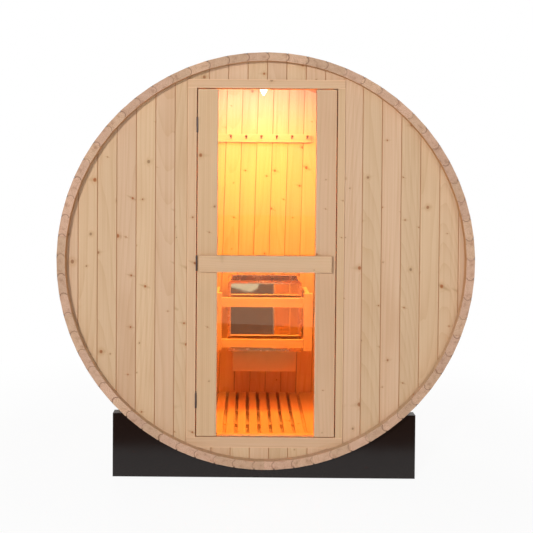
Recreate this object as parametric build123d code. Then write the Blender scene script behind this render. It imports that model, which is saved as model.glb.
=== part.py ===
from build123d import *
import os
from math import atan2, cos, degrees, radians, sin, sqrt, tan

# Barrel sauna, in millimetres.
# +X is to the right of someone facing the door, +Y goes in through the door, +Z is up.
# The origin is on the ground under the middle of the barrel.
# The cabin is laid out from the barrel's axis, and what stands or hangs in it from the floor's top.

# Barrel
barrel_radius = 900.0
barrel_length = 1000.0
barrel_bottom_height = 60.0
stave_count = 65
stave_thickness = 36.0
stave_gap = 0.4
bead_depth = 9.0
bead_outer_shoulder = 4.0
bead_inner_shoulder = 4.0
bead_sides = 4
stave_edge_chamfer = 2.5
staves_per_group = 13

# End walls, which stand in a groove cut round the inside of the staves
wall_thickness = 38.0
wall_recess = 34.0
groove_depth = 10.0
fit_gap = 0.3
wall_board_width = 83.7
board_gap = 0.4
board_vee = 2.2
tongue_length = 8.0
tongue_thickness = 10.0
tongue_clearance = 0.5
first_board_left_of_door = 55.0
first_board_right_of_door = 78.0
seam_over_door = 3.0
seam_under_sill = 20.0
rear_board_width = 84.0
rear_board_seam = 42.0
rear_wall_turn = 1.3

# Doorway and its frame
door_width = 600.0
door_off_centre = 4.0
door_gap = 5.0
mean_jamb_width = 35.0
head_height = 37.0
sill_height = 45.0
frame_corner_drop = 7.0
sill_over_floor = 6.0
frame_proud = 6.0
frame_depth = 64.0
sill_corner_cut = 30.0
sill_corner_angle = 38.0
stop_width = 12.0
stop_gap = 5.0

# Door leaf
leaf_thickness = 38.0
stile_width = 87.0
stile_edge_chamfer = 2.0
closing_bevel = 2.0
glass_thickness = 8.0
glass_rebate = 12.0
glass_clearance = 0.4
bar_height = 72.0
bar_thickness = 25.0
bar_left_inset = 7.0
bar_right_inset = 18.0
bar_edge_radius = 3.0

# Hinges
hinge_end_distance = 155.0
hinge_length = 65.0
hinge_leaf_thickness = 1.8
hinge_leaf_depth = 30.0
knuckle_radius = 3.6
hinge_pin_radius = 1.8
knuckle_sides = 12
hinge_pin_clearance = 0.08
knuckle_gap = 0.6

# Cradles
cradle_width = 1332.0
cradle_height = 281.0
cradle_thickness = 50.0
cradle_setback = 70.0
cradle_clearance = 0.3

# Hoops round the staves, closed by a bolt underneath
hoop_width = 30.0
hoop_thickness = 1.5
hoop_setback = 200.0
hoop_lug_gap = 16.0
hoop_lug_height = 24.0
hoop_lug_thickness = 4.0
hoop_bolt_radius = 4.0
hoop_bolt_sides = 12
hoop_bolt_drop = 13.0
hoop_nut_width = 13.0
hoop_nut_height = 6.5
hoop_bolt_spare = 6.0

# Duckboard floor
floor_height = 44.0
floor_board_thickness = 20.0
floor_front_board_depth = 136.0
slat_pitch = 54.2
slat_gap = 12.0
slat_first_gap = -234.5
slat_gap_count = 9
floor_batten_depth = 40.0
floor_batten_count = 3
floor_batten_pitch = 212.0
floor_batten_first = 209.0

# Hook rail on the rear wall
rail_middle = -6.0
rail_length = 534.0
rail_height = 43.0
rail_thickness = 20.0
rail_over_floor = 1385.0
hook_count = 7
hook_pitch = 82.0
hook_sides = 8
hook_stem_radius = 3.5
hook_reach = 42.0
hook_knob_radius = 8.0
hook_knob_length = 10.0
hook_tilt = 12.0

# Wall-hung stove
stove_centre = 12.0
stove_width = 376.0
stove_depth = 290.0
stove_height = 356.0
stove_top_over_floor = 654.0
stove_wall_gap = 40.0
stove_rim = 18.0
stove_back_rim = 58.0
stove_bed_depth = 160.0
stone_bed_drop = 42.0
stone_clearance = 1.0
stove_base_width = 320.0
stove_base_depth = 250.0
stove_base_height = 106.0
stove_bracket_width = 40.0
stove_bracket_inset = 60.0
stove_bracket_height = 260.0

# Wooden guard round the stove
guard_centre = 0.0
guard_post_width = 42.0
guard_post_thickness = 40.0
guard_inner_gap = 16.0
guard_front_gap = 30.0
guard_post_length = 284.0
guard_post_top_under_stove_top = 53.0
guard_rail_thickness = 22.0
guard_upper_rail_height = 45.0
guard_upper_rail_drop = 47.5
guard_lower_rail_height = 39.0
guard_lower_rail_drop = 252.5

# Lamp under the top of the barrel
lamp_from_rear_wall = 250.0
lamp_base_width = 80.0
lamp_base_thickness = 14.0
lamp_sides = 24
lamp_glass_radius = 38.0
lamp_tip_radius = 7.0
lamp_drop = 72.0

# Sizes that follow from the ones above
axis_height = barrel_bottom_height + barrel_radius
front_rim = -barrel_length / 2
rear_rim = barrel_length / 2
half_stave_angle = 180.0 / stave_count
outer_flat = barrel_radius * cos(radians(half_stave_angle))
inner_flat = outer_flat - stave_thickness
front_wall_face = front_rim + wall_recess
front_wall_inside = front_wall_face + wall_thickness
rear_wall_face = rear_rim - wall_recess
rear_wall_inside = rear_wall_face - wall_thickness
wall_radius = inner_flat + groove_depth - fit_gap
lining_radius = inner_flat - fit_gap
floor_top = floor_height - inner_flat
floor_bottom = floor_top - floor_board_thickness
door_left = door_off_centre - door_width / 2
door_right = door_off_centre + door_width / 2
opening_left = door_left - door_gap
opening_right = door_right + door_gap
frame_half_width = door_width / 2 + door_gap + mean_jamb_width
frame_top = sqrt(inner_flat**2 - frame_half_width**2) - frame_corner_drop
frame_bottom = floor_top + sill_over_floor
opening_top = frame_top - head_height
opening_bottom = frame_bottom + sill_height
door_top = opening_top - door_gap
door_bottom = opening_bottom + door_gap
door_middle = (door_top + door_bottom) / 2
frame_front = front_wall_face - frame_proud
frame_back = frame_front + frame_depth
leaf_front = frame_front
leaf_back = leaf_front + leaf_thickness
leaf_middle = (leaf_front + leaf_back) / 2
hinge_x = door_left - door_gap / 2
hinge_y = leaf_front - knuckle_radius
stove_back = rear_wall_inside - stove_wall_gap
stove_front = stove_back - stove_depth
stove_top = floor_top + stove_top_over_floor
guard_top = stove_top - guard_post_top_under_stove_top
guard_inner_half = stove_width / 2 + guard_inner_gap
guard_half_width = guard_inner_half + guard_post_width
guard_back = stove_front - guard_front_gap
guard_front = guard_back - guard_post_thickness


def box(x_low, x_high, y_low, y_high, z_low, z_high):
    """A block between two opposite corners, with z from the ground."""
    size = (x_high - x_low, y_high - y_low, z_high - z_low)
    corner = (Align.MIN, Align.MIN, Align.MIN)
    return Pos(x_low, y_low, z_low) * Box(*size, align=corner)


def cabin_box(x_low, x_high, y_low, y_high, z_low, z_high):
    """A block between two opposite corners, with z from the barrel's axis."""
    return Pos(0, 0, axis_height) * box(x_low, x_high, y_low, y_high, z_low, z_high)


def along_barrel(profile, y_low, y_high):
    """Extrudes a profile drawn in X and Z, with Z from the axis, between two places along the barrel."""
    bar = extrude(profile, amount=y_high - y_low)
    return Pos(0, y_high, axis_height) * Rot(90, 0, 0) * bar


def turned(solid, angle):
    """A solid turned about the barrel's axis, clockwise as seen from the door."""
    return Pos(0, 0, axis_height) * Rot(0, angle, 0) * Pos(0, 0, -axis_height) * solid


def solids_of(*shapes):
    """The separate solids of some shapes, in one list."""
    return [solid for shape in shapes for solid in shape.solids()]


def stave():
    """The stave at the top of the barrel: bead on the right, cove on the left, grooved at both ends."""
    lean = tan(radians(half_stave_angle))

    def side(sign, height):
        return sign * (height * lean - stave_gap / 2), height

    def joint(sign):
        low, high = inner_flat + bead_inner_shoulder, outer_flat - bead_outer_shoulder
        start, end = side(sign, low), side(sign, high)
        middle = ((start[0] + end[0]) / 2 + bead_depth, (low + high) / 2)
        bead = ThreePointArc(start, middle, end)
        return [bead @ (step / bead_sides) for step in range(bead_sides + 1)]

    def edge(sign):
        shoulder = side(sign, outer_flat - stave_edge_chamfer)
        corner = (side(sign, outer_flat)[0] - sign * stave_edge_chamfer, outer_flat)
        return [side(sign, inner_flat), *joint(sign), shoulder, corner]

    outline = Polyline(*edge(-1), *reversed(edge(1)), close=True)
    plank = along_barrel(make_face(outline), front_rim, rear_rim)
    half_width = barrel_radius * lean + bead_depth
    for wall_low in (front_wall_face, rear_wall_inside):
        groove = cabin_box(
            -half_width,
            half_width,
            wall_low - fit_gap,
            wall_low + wall_thickness + fit_gap,
            inner_flat - groove_depth,
            inner_flat + groove_depth,
        )
        plank = plank - groove
    return plank


def stave_groups():
    """The whole shell, in groups of neighbouring staves that go clockwise from the top."""
    plank = stave()
    pitch = 2 * half_stave_angle
    groups = {}
    for group in range(stave_count // staves_per_group):
        first = group * staves_per_group
        last = first + staves_per_group
        turns = [(number + 0.5) * pitch for number in range(first, last)]
        groups[f"stave_group_{group + 1}"] = solids_of(*[turned(plank, turn) for turn in turns])
    return groups


def stave_polygon(apothem):
    """A many-sided outline with one side parallel to each stave's outer face."""
    return RegularPolygon(apothem, stave_count, major_radius=False, rotation=half_stave_angle - 90)


def lining_bar(apothem, y_low, y_high):
    """A bar on the barrel's axis, with one flat for each stave, that cuts things to fit inside the shell."""
    return along_barrel(stave_polygon(apothem), y_low, y_high)


def hoop(middle):
    """A steel band that bends over every stave, with two lugs that a bolt draws together underneath."""
    inner = outer_flat + fit_gap
    outer = inner + hoop_thickness
    ring = stave_polygon(outer) - stave_polygon(inner)
    ring -= Pos(0, -outer) * Rectangle(hoop_lug_gap, 2 * hoop_lug_height)
    for sign in (-1, 1):
        lug_middle = sign * (hoop_lug_gap + hoop_lug_thickness) / 2
        lug = Rectangle(hoop_lug_thickness, hoop_lug_height, align=(Align.CENTER, Align.MAX))
        ring += Pos(lug_middle, -inner) * lug
    band = along_barrel(ring, middle - hoop_width / 2, middle + hoop_width / 2)
    round_hole = RegularPolygon(hoop_bolt_radius + fit_gap, hoop_bolt_sides, major_radius=False)
    hole = extrude(round_hole, amount=2 * hoop_lug_gap, both=True)
    return band - Pos(0, middle, hoop_bolt_height()) * Rot(0, 90, 0) * hole


def hoop_bolt_height():
    """The height of a hoop's bolt over the ground."""
    return axis_height - outer_flat - hoop_bolt_drop


def hoop_bolt(middle):
    """The bolt of one hoop, with its head on one lug and its nut on the other."""
    half_grip = hoop_lug_gap / 2 + hoop_lug_thickness + fit_gap
    shank_end = half_grip + hoop_nut_height + hoop_bolt_spare
    shank = extrude(RegularPolygon(hoop_bolt_radius, hoop_bolt_sides), amount=half_grip + shank_end)
    hexagon = RegularPolygon(hoop_nut_width / 2, 6, major_radius=False)
    head = Pos(0, 0, -half_grip) * extrude(hexagon, amount=-hoop_nut_height)
    nut = Pos(0, 0, half_grip) * extrude(hexagon, amount=hoop_nut_height)
    bolt = Pos(0, 0, -half_grip) * shank + head + nut
    return Pos(0, middle, hoop_bolt_height()) * Rot(0, 90, 0) * bolt


def wall_board(x_left, x_right, y_low, tongue, groove):
    """One upright wall board, V-edged on both faces, before it is cut to length."""
    left, right = x_left + board_gap / 2, x_right - board_gap / 2
    outline = Rectangle(right - left, wall_thickness, align=(Align.MIN, Align.MIN))
    plan = Pos(left, 0) * chamfer(outline.vertices(), board_vee)
    tongue_low = (wall_thickness - tongue_thickness) / 2
    corner = (Align.MIN, Align.MIN)
    if tongue:
        plan += Pos(right, tongue_low) * Rectangle(tongue_length, tongue_thickness, align=corner)
    if groove:
        slot_depth = tongue_length + tongue_clearance
        slot_width = tongue_thickness + 2 * tongue_clearance
        plan -= Pos(left, tongue_low - tongue_clearance) * Rectangle(slot_depth, slot_width, align=corner)
    return Pos(0, y_low, axis_height - barrel_radius) * extrude(plan, amount=2 * barrel_radius)


def board_row(seams, y_low):
    """Boards between neighbouring seams, tongued and grooved into each other."""
    last = len(seams) - 2
    pairs = enumerate(zip(seams, seams[1:]))
    return [wall_board(left, right, y_low, i < last, i > 0) for i, (left, right) in pairs]


def seams_between(low, high, first, pitch):
    """The two ends of a stretch of wall and every seam between them, at a pitch from the first."""
    seams = [low]
    count = int(4 * barrel_radius / pitch)
    for step in range(-count, count):
        seam = first + step * pitch
        if low + tongue_length < seam < high - tongue_length:
            seams.append(seam)
    return seams + [high]


def front_wall():
    """The front boards beside, over and under the door frame, each cut to the round."""
    disc = lining_bar(wall_radius, front_wall_face, front_wall_inside)
    edge = frame_half_width + fit_gap
    rim = barrel_radius
    first_left = -frame_half_width - first_board_left_of_door
    first_right = frame_half_width + first_board_right_of_door
    left_seams = seams_between(-rim, -edge, first_left, wall_board_width)
    right_seams = seams_between(edge, rim, first_right, wall_board_width)
    over_seams = seams_between(-edge, edge, seam_over_door, wall_board_width)
    under_seams = seams_between(-edge, edge, seam_under_sill, wall_board_width)
    over = cabin_box(-edge, edge, front_rim, 0, frame_top + fit_gap, barrel_radius)
    under = cabin_box(-edge, edge, front_rim, 0, -barrel_radius, frame_bottom - fit_gap)
    row_left = board_row(left_seams, front_wall_face)
    row_right = board_row(right_seams, front_wall_face)
    row_over = board_row(over_seams, front_wall_face)
    row_under = board_row(under_seams, front_wall_face)
    return {
        "front_wall_left": solids_of(*[board & disc for board in row_left]),
        "front_wall_right": solids_of(*[board & disc for board in row_right]),
        "front_wall_top": solids_of(*[board & disc & over for board in row_over]),
        "front_wall_bottom": solids_of(*[board & disc & under for board in row_under]),
    }


def rear_wall():
    """The rear boards, which lean a little because the round wall sits slightly turned."""
    disc = lining_bar(wall_radius, rear_wall_inside, rear_wall_face)
    seams = seams_between(-barrel_radius, barrel_radius, rear_board_seam, rear_board_width)
    row = board_row(seams, rear_wall_inside)
    return solids_of(*[turned(board, rear_wall_turn) & disc for board in row])


def sill_corner(side):
    """The wedge that is cut off one lower corner of the frame."""
    size = 4 * sill_corner_cut
    wedge = Rectangle(size, size, align=(Align.CENTER, Align.MAX))
    place = Pos(side * frame_half_width, frame_bottom + sill_corner_cut * sin(radians(sill_corner_angle)))
    return along_barrel(place * Rot(0, 0, side * sill_corner_angle) * wedge, front_rim, 0)


def door_frame():
    """Head, sill and two jambs with a stop behind the leaf, trimmed to the round where it meets them."""
    stop_front = leaf_back + stop_gap
    lining = lining_bar(lining_radius, front_rim, 0)
    span = (-frame_half_width, frame_half_width, frame_front, frame_back)
    head = cabin_box(*span, opening_top, frame_top)
    sill = cabin_box(*span, frame_bottom, opening_bottom)
    for side in (-1, 1):
        sill = sill - sill_corner(side)
    jambs = {}
    sides = ((-1, opening_left, "door_jamb_hinge_side"), (1, opening_right, "door_jamb_free_side"))
    for side, opening_edge, name in sides:
        x_low, x_high = sorted((opening_edge, side * frame_half_width))
        stop_low, stop_high = sorted((opening_edge - side * stop_width, opening_edge))
        heights = (opening_bottom + fit_gap, opening_top - fit_gap)
        post = cabin_box(x_low, x_high, frame_front, frame_back, *heights)
        stop = cabin_box(stop_low, stop_high, stop_front, frame_back, *heights)
        jambs[name] = solids_of((post + stop) & lining)
    return {"door_head": solids_of(head & lining), "door_sill": solids_of(sill & lining), **jambs}


def stile(outer_x, inner_x, bevel):
    """One upright of the door leaf, grooved for the glass and bevelled on its closing edge."""
    side = 1 if inner_x > outer_x else -1
    slot = glass_thickness / 2 + glass_clearance
    deep = inner_x - side * glass_rebate
    soft = stile_edge_chamfer
    points = [
        (outer_x + side * soft, leaf_front),
        (outer_x, leaf_front + soft),
        (outer_x + side * bevel, leaf_back),
        (inner_x, leaf_back),
        (inner_x, leaf_middle + slot),
        (deep, leaf_middle + slot),
        (deep, leaf_middle - slot),
        (inner_x, leaf_middle - slot),
        (inner_x, leaf_front + soft),
        (inner_x - side * soft, leaf_front),
    ]
    plan = make_face(Polyline(*points, close=True))
    upright = extrude(plan, amount=door_top - door_bottom)
    return Pos(0, 0, axis_height + door_bottom) * upright


def door_leaf():
    """Two stiles with a full-height glass between them, and a bar across the middle that is the handle."""
    stile_left, stile_right = door_left + stile_width, door_right - stile_width
    hidden = glass_rebate - glass_clearance
    glass_low, glass_high = leaf_middle - glass_thickness / 2, leaf_middle + glass_thickness / 2
    glass = cabin_box(
        stile_left - hidden, stile_right + hidden, glass_low, glass_high, door_bottom, door_top
    )
    bar = cabin_box(
        door_left + bar_left_inset,
        door_right - bar_right_inset,
        leaf_front - bar_thickness,
        leaf_front,
        door_middle - bar_height / 2,
        door_middle + bar_height / 2,
    )
    front_edges = bar.faces().sort_by(Axis.Y)[0].edges()
    bar = fillet(front_edges, bar_edge_radius)
    return {
        "door_hinge_stile": solids_of(stile(door_left, stile_left, 0)),
        "door_free_stile": solids_of(stile(door_right, stile_right, closing_bevel)),
        "door_glass": solids_of(glass),
        "door_cross_bar": solids_of(bar),
    }


def hinge_half(plate_x_low, plate_x_high, spans, bore):
    """A hinge plate with its knuckles between the given heights, from the middle of the hinge."""
    half = hinge_length / 2
    plate_front = hinge_y + knuckle_radius + knuckle_gap
    solid = box(plate_x_low, plate_x_high, plate_front, leaf_front + hinge_leaf_depth, -half, half)
    for low, high in spans:
        height = high - low
        knuckle = extrude(RegularPolygon(knuckle_radius, knuckle_sides), amount=height)
        knuckle = Pos(hinge_x, hinge_y, low) * knuckle
        web = box(plate_x_low, plate_x_high, hinge_y, plate_front, low, high)
        solid = solid + web + knuckle
    round_bore = RegularPolygon(bore, knuckle_sides, major_radius=False)
    return solid - Pos(hinge_x, hinge_y, 0) * extrude(round_bore, amount=hinge_length, both=True)


def hinges():
    """Three butt hinges: plates in the gap beside the leaf, with knuckles that stand proud of it."""
    third = hinge_length / 3
    half = hinge_length / 2
    outer_spans = ((-half, -third / 2 - knuckle_gap / 2), (third / 2 + knuckle_gap / 2, half))
    middle_span = ((-third / 2 + knuckle_gap / 2, third / 2 - knuckle_gap / 2),)
    tight = hinge_pin_radius + hinge_pin_clearance
    on_frame = hinge_half(opening_left, opening_left + hinge_leaf_thickness, outer_spans, tight)
    on_leaf = hinge_half(door_left - hinge_leaf_thickness, door_left, middle_span, tight)
    pin_outline = RegularPolygon(hinge_pin_radius, knuckle_sides)
    pin = Pos(hinge_x, hinge_y, 0) * extrude(pin_outline, amount=half, both=True)
    heights = (door_top - hinge_end_distance, door_middle, door_bottom + hinge_end_distance)
    places = [Pos(0, 0, axis_height + height) for height in heights]
    return {
        "hinge_frame_plates": solids_of(*[place * on_frame for place in places]),
        "hinge_pins": solids_of(*[place * pin for place in places]),
        "hinge_leaf_plates": solids_of(*[place * on_leaf for place in places]),
    }


def cradle(y_low):
    """A thick panel on edge, cut to the barrel's round, that the barrel rests in."""
    outline = Pos(0, -axis_height) * Rectangle(cradle_width, cradle_height, align=(Align.CENTER, Align.MIN))
    outline -= Circle(barrel_radius + cradle_clearance)
    return along_barrel(outline, y_low, y_low + cradle_thickness)


def floor():
    """A duckboard: a board behind the sill, slats that run inwards, and battens cut to the round below."""
    lining = lining_bar(lining_radius, front_rim, rear_rim)
    front_low = front_wall_inside + fit_gap
    front_high = front_low + floor_front_board_depth
    rear_high = rear_wall_inside - fit_gap
    level = (floor_bottom, floor_top)
    front_board = cabin_box(-barrel_radius, barrel_radius, front_low, front_high, *level) & lining
    notch = cabin_box(
        -frame_half_width - fit_gap, frame_half_width + fit_gap, front_rim, frame_back + fit_gap, *level
    )
    gaps = [slat_first_gap + i * slat_pitch for i in range(slat_gap_count)]
    edges = [-barrel_radius] + gaps + [barrel_radius]
    slats = []
    for left, right in zip(edges, edges[1:]):
        x_low, x_high = left + slat_gap / 2, right - slat_gap / 2
        slats.append(cabin_box(x_low, x_high, front_high + fit_gap, rear_high, *level) & lining)
    battens = []
    for i in range(floor_batten_count):
        middle = front_wall_face + floor_batten_first + i * floor_batten_pitch
        y_low, y_high = middle - floor_batten_depth / 2, middle + floor_batten_depth / 2
        across = (-barrel_radius, barrel_radius)
        batten = cabin_box(*across, y_low, y_high, -barrel_radius, floor_bottom - fit_gap)
        battens.append(batten & lining)
    return {
        "floor_front_board": solids_of(front_board - notch),
        "floor_slats": solids_of(*slats),
        "floor_battens": solids_of(*battens),
    }


def hook_rail():
    """A rail across the rear wall with a row of wooden pegs that tilt up."""
    rail_face = rear_wall_inside - fit_gap - rail_thickness
    middle = floor_top + rail_over_floor
    low, high = middle - rail_height / 2, middle + rail_height / 2
    left, right = rail_middle - rail_length / 2, rail_middle + rail_length / 2
    rail = cabin_box(left, right, rail_face, rail_face + rail_thickness, low, high)
    stem = extrude(RegularPolygon(hook_stem_radius, hook_sides), amount=hook_reach)
    knob = extrude(RegularPolygon(hook_knob_radius, hook_sides), amount=hook_knob_length)
    peg = stem + Pos(0, 0, hook_reach) * knob
    pegs = []
    for i in range(hook_count):
        across = rail_middle + (i - (hook_count - 1) / 2) * hook_pitch
        place = Pos(across, rail_face, axis_height + middle)
        set_in = Pos(0, 0, hook_stem_radius * tan(radians(hook_tilt)) + fit_gap)
        pegs.append(place * Rot(90 - hook_tilt, 0, 0) * set_in * peg)
    return {"hook_rail": solids_of(rail), "hook_pegs": solids_of(*pegs)}


def stove():
    """A wall-hung stove: an open bed of stones in a steel box, with a narrower box below."""
    half = stove_width / 2
    x_low, x_high = stove_centre - half, stove_centre + half
    top, bottom = stove_top, stove_top - stove_height
    shell = cabin_box(x_low, x_high, stove_front, stove_back, bottom, top)
    bed = (x_low + stove_rim, x_high - stove_rim, stove_front + stove_rim, stove_back - stove_back_rim)
    shell -= cabin_box(*bed, top - stove_bed_depth, top + stove_rim)
    stones = cabin_box(
        bed[0] + stone_clearance,
        bed[1] - stone_clearance,
        bed[2] + stone_clearance,
        bed[3] - stone_clearance,
        top - stove_bed_depth + fit_gap,
        top - stone_bed_drop,
    )
    base_half = stove_base_width / 2
    base_front = stove_front + (stove_depth - stove_base_depth) / 2
    base = cabin_box(
        stove_centre - base_half,
        stove_centre + base_half,
        base_front,
        base_front + stove_base_depth,
        bottom - fit_gap - stove_base_height,
        bottom - fit_gap,
    )
    brackets = []
    for side in (-1, 1):
        middle = stove_centre + side * (half - stove_bracket_inset)
        brackets.append(
            cabin_box(
                middle - stove_bracket_width / 2,
                middle + stove_bracket_width / 2,
                stove_back + fit_gap,
                rear_wall_inside - fit_gap,
                bottom + stove_rim,
                bottom + stove_rim + stove_bracket_height,
            )
        )
    return {
        "stove_body": solids_of(shell),
        "stove_stones": solids_of(stones),
        "stove_base": solids_of(base),
        "stove_brackets": solids_of(*brackets),
    }


def stove_guard():
    """Two front posts with rails between them and back to the rear wall, at two heights."""
    posts, front_rails, side_rails = [], [], []
    post_low = guard_top - guard_post_length
    for side in (-1, 1):
        inner, outer = guard_centre + side * guard_inner_half, guard_centre + side * guard_half_width
        x_low, x_high = sorted((inner, outer))
        posts.append(cabin_box(x_low, x_high, guard_front, guard_back, post_low, guard_top))
    rails = (
        (guard_top - guard_upper_rail_drop, guard_upper_rail_height),
        (guard_top - guard_lower_rail_drop, guard_lower_rail_height),
    )
    for middle, height in rails:
        low, high = middle - height / 2, middle + height / 2
        y_high = guard_back
        front_rails.append(
            cabin_box(
                guard_centre - guard_inner_half + fit_gap,
                guard_centre + guard_inner_half - fit_gap,
                y_high - guard_rail_thickness,
                y_high,
                low,
                high,
            )
        )
        for side in (-1, 1):
            outer = guard_centre + side * guard_half_width
            x_low, x_high = sorted((outer, outer - side * guard_rail_thickness))
            side_rails.append(
                cabin_box(x_low, x_high, guard_back + fit_gap, rear_wall_inside - fit_gap, low, high)
            )
    return {
        "guard_posts": solids_of(*posts),
        "guard_front_rails": solids_of(*front_rails),
        "guard_side_rails": solids_of(*side_rails),
    }


def lamp():
    """A small glass lamp on a round base whose edge bears on the staves at the top of the barrel."""
    seat = sqrt(inner_flat**2 - (lamp_base_width / 2) ** 2) - fit_gap
    base_outline = RegularPolygon(lamp_base_width / 2, lamp_sides)
    base = Pos(0, 0, seat) * extrude(base_outline, amount=-lamp_base_thickness)
    glass_outline = RegularPolygon(lamp_glass_radius, lamp_sides)
    narrowing = degrees(atan2(lamp_glass_radius - lamp_tip_radius, lamp_drop))
    glass = Rot(180, 0, 0) * extrude(glass_outline, amount=lamp_drop, taper=narrowing)
    glass = Pos(0, 0, seat - lamp_base_thickness - fit_gap) * glass
    place = Pos(0, rear_wall_inside - lamp_from_rear_wall, axis_height)
    return {
        "lamp_base": solids_of(place * base),
        "lamp_glass": solids_of(place * glass),
    }


def all_parts():
    """Every named piece of the sauna, each a list of solids."""
    parts = stave_groups()
    hoop_places = {"front": front_rim + hoop_setback, "rear": rear_rim - hoop_setback}
    for name, middle in hoop_places.items():
        parts[f"{name}_hoop"] = solids_of(hoop(middle))
    parts["hoop_bolts"] = solids_of(*[hoop_bolt(middle) for middle in hoop_places.values()])
    parts["front_cradle"] = solids_of(cradle(front_rim + cradle_setback))
    parts["rear_cradle"] = solids_of(cradle(rear_rim - cradle_setback - cradle_thickness))
    parts.update(front_wall())
    parts["rear_wall"] = rear_wall()
    parts.update(door_frame())
    parts.update(door_leaf())
    parts.update(hinges())
    parts.update(floor())
    parts.update(hook_rail())
    parts.update(stove())
    parts.update(stove_guard())
    parts.update(lamp())
    return parts


def main():
    os.makedirs("parts", exist_ok=True)
    for name, solids in all_parts().items():
        shape = solids[0] if len(solids) == 1 else Compound(children=solids)
        shape.label = name
        export_step(shape, f"parts/{name}.step")


main()
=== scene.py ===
import math

import bmesh
import bpy
import numpy as np
from mathutils import Matrix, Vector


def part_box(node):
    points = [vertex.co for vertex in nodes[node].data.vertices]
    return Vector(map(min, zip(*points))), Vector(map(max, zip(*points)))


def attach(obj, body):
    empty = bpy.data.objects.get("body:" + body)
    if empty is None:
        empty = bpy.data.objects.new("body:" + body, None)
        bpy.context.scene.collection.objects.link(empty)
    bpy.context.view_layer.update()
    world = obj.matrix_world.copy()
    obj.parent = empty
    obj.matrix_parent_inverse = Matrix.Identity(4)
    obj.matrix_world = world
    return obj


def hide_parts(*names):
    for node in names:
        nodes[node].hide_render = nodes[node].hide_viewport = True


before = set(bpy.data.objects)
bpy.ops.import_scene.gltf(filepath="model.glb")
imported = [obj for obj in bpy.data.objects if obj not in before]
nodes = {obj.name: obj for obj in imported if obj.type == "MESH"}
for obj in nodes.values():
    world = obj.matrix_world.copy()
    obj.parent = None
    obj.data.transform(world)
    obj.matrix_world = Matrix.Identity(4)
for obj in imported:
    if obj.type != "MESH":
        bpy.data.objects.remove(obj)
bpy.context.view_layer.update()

# Sizes that the looks share with the frame, in metres
AXIS_HEIGHT = 0.96
STAVE_COUNT = 65
STAVE_PITCH = 2 * math.pi / STAVE_COUNT
STAVE_INSIDE = 0.86295
STAVE_OUTSIDE = 0.89895
BEAD_DEPTH = 0.009
BEAD_SHOULDER = 0.004
WALL_BOARD = 0.0837
REAR_BOARD = 0.084
REAR_SEAM = 0.042
REAR_TURN = math.radians(1.3)
SLAT_FIRST_GAP = -0.2345
SLAT_PITCH = 0.0542
SLAT_GAP_COUNT = 9

# Sizes of the looks alone, in metres, and the notch's slope
SLAT_GAP = 0.0148
SLAT_EASE = 0.003
ROUND_CLEARANCE = 0.001
BEAD_MARGIN = 0.002
NOTCH_DEPTH = 0.0025
NOTCH_SLOPE = 1.2
JOIN_DISTANCE = 1e-6

# A lone board's seam lies off it, and edges this far out leave a piece without a painted arris highlight,
# though its edge faces keep their painted highlight
LONE_SEAM = 0.37
LONE_PITCH = 0.5
NO_EDGES = (-0.9, 0.9)

# From this part of its normal on, a face counts as facing an axis
FACING = 0.7


class Number:
    """A value in a shader. Arithmetic on it adds the Math node that works it out."""

    def __init__(self, finish, socket):
        self.finish = finish
        self.socket = socket

    def __add__(self, other):
        return self.finish.math("ADD", self, other)

    __radd__ = __add__

    def __sub__(self, other):
        return self.finish.math("SUBTRACT", self, other)

    def __rsub__(self, other):
        return self.finish.math("SUBTRACT", other, self)

    def __mul__(self, other):
        return self.finish.math("MULTIPLY", self, other)

    __rmul__ = __mul__

    def __truediv__(self, other):
        return self.finish.math("DIVIDE", self, other)

    def __rtruediv__(self, other):
        return self.finish.math("DIVIDE", other, self)

    def floor(self):
        return self.finish.math("FLOOR", self)

    def fraction(self):
        return self.finish.math("FRACT", self)

    def size(self):
        return self.finish.math("ABSOLUTE", self)

    def above(self, level):
        return self.finish.math("GREATER_THAN", self, level)


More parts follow.
